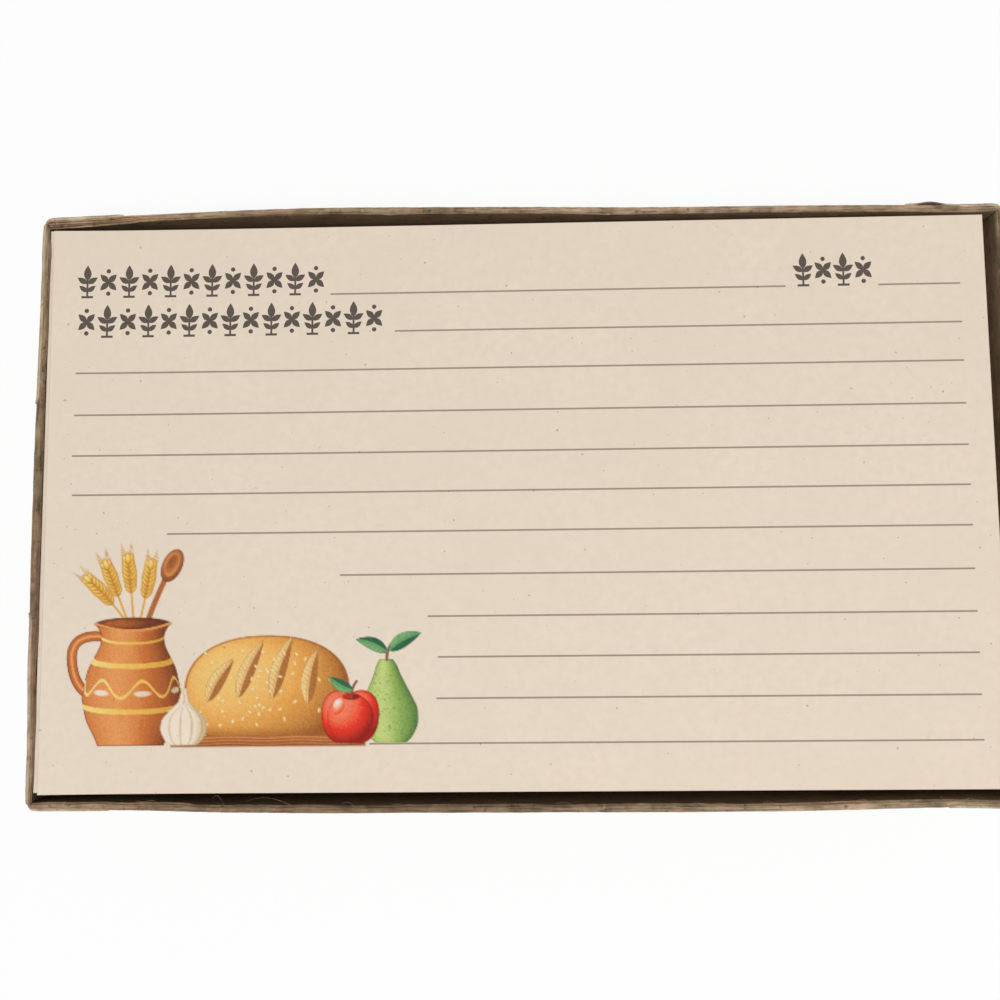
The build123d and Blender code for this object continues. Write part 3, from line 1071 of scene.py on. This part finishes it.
FINE, COARSE = 0.15, 0.45  # mm between the points of the picture, on the top card and on those below
WARMTHS = (0.0, 0.05, 0.11)  # how far the papers of the bare cards have yellowed

chipboard = board_material("raw_chipboard", BOARD_LIGHT, BOARD_DARK, (0.35, 0.35, 2.2))
stay_paper = board_material("stay_paper", TAPE_LIGHT, TAPE_DARK, (0.5, 0.5, 1.6))
build_tray(chipboard)
for index, name in enumerate(CORNERS):
    build_stay(name, stay_paper, 5.0 + 7 * index)

printed = paper_material("printed_card", True)
fine, coarse = still_life(FINE), still_life(COARSE)
for rank, name in enumerate(PRINTED):
    build_card(name, printed, fine if name == CARDS[-1] else coarse, CURL * rank / (len(PRINTED) - 1))

papers = [paper_material(f"card_paper_{i}", False, warmth) for i, warmth in enumerate(WARMTHS)]
for index, name in enumerate(PILE[:-1]):
    slots = frame["nodes"][name].data.materials
    slots.clear()
    slots.append(papers[(index * 5 + index // 4) % len(papers)])


# ---- floor, light and camera

WORLD_LIGHT = 0.36
FLOOR_WHITE, FLOOR_GLOW = 0.93, 0.86  # what the floor reflects, and its share that is plain white
KEY_PLACE = Vector((0.12, -0.32, 1.0))  # metres
KEY_SIZE, KEY_POWER = 0.45, 7.6  # metres and watts


def seen_rays(tree):
    """1 for rays that show the background, straight, in a gloss or through glass, and 0 for others."""
    rays = node(tree, "LightPath").outputs
    seen = rays["Is Camera Ray"]
    for kind in ("Is Glossy Ray", "Is Transmission Ray"):
        seen = maths(tree, "MAXIMUM", seen, rays[kind])
    return seen


def build_floor():
    """Pale table top that stays white in the picture and keeps the object's shadow."""
    bpy.ops.mesh.primitive_plane_add(size=8, location=(0, 0, -0.1 * MM))
    floor = bpy.context.object
    floor.name = "floor"
    material = bpy.data.materials.new("pale_floor")
    material.use_nodes = True
    tree = material.node_tree
    tree.nodes.clear()
    share = maths(tree, "MULTIPLY", seen_rays(tree), FLOOR_GLOW)
    diffuse = node(tree, "BsdfDiffuse", Color=np.ones(3) * FLOOR_WHITE)
    glow = node(tree, "Emission", Color=np.ones(3), Strength=1.0)
    both = node(tree, "MixShader")
    for socket, value in zip(both.inputs, (share, diffuse.outputs[0], glow.outputs[0])):
        plug(tree, socket, value)
    node(tree, "OutputMaterial", Surface=both.outputs[0])
    floor.data.materials.append(material)


def build_light():
    """Square soft light above the object, facing it."""
    data = bpy.data.lights.new("key", "AREA")
    data.size = KEY_SIZE
    data.energy = KEY_POWER
    lamp = add_object("key", data)
    lamp.location = KEY_PLACE
    lamp.rotation_euler = (-KEY_PLACE).to_track_quat("-Z", "Y").to_euler()


def build_world():
    """Even soft light, seen as white wherever the background shows."""
    world = bpy.data.worlds.new("studio")
    bpy.context.scene.world = world
    world.use_nodes = True
    tree = world.node_tree
    background = tree.nodes["Background"]
    plug(tree, background.inputs["Color"], np.ones(3))
    plug(tree, background.inputs["Strength"], band(tree, seen_rays(tree), 0.0, 1.0, WORLD_LIGHT, 1.0))


def build_camera():
    """Camera above the top card, placed from that card's own centre and turn."""
    centre, _, turn, _, high = card_place(CARDS[-1])
    onto = Matrix.Translation(Vector((*centre, high)) * MM) @ Matrix.Rotation(turn, 4, "Z")
    data = bpy.data.cameras.new("camera")
    data.lens = LENS
    data.sensor_width = SENSOR
    data.clip_start = 0.01
    camera = add_object("camera", data)
    camera.matrix_world = onto @ Matrix.Translation(CAMERA_PLACE * MM) @ CAMERA_TURN.to_matrix().to_4x4()
    bpy.context.scene.camera = camera


build_floor()
build_light()
build_world()
build_camera()
bpy.context.scene.view_settings.view_transform = "Standard"
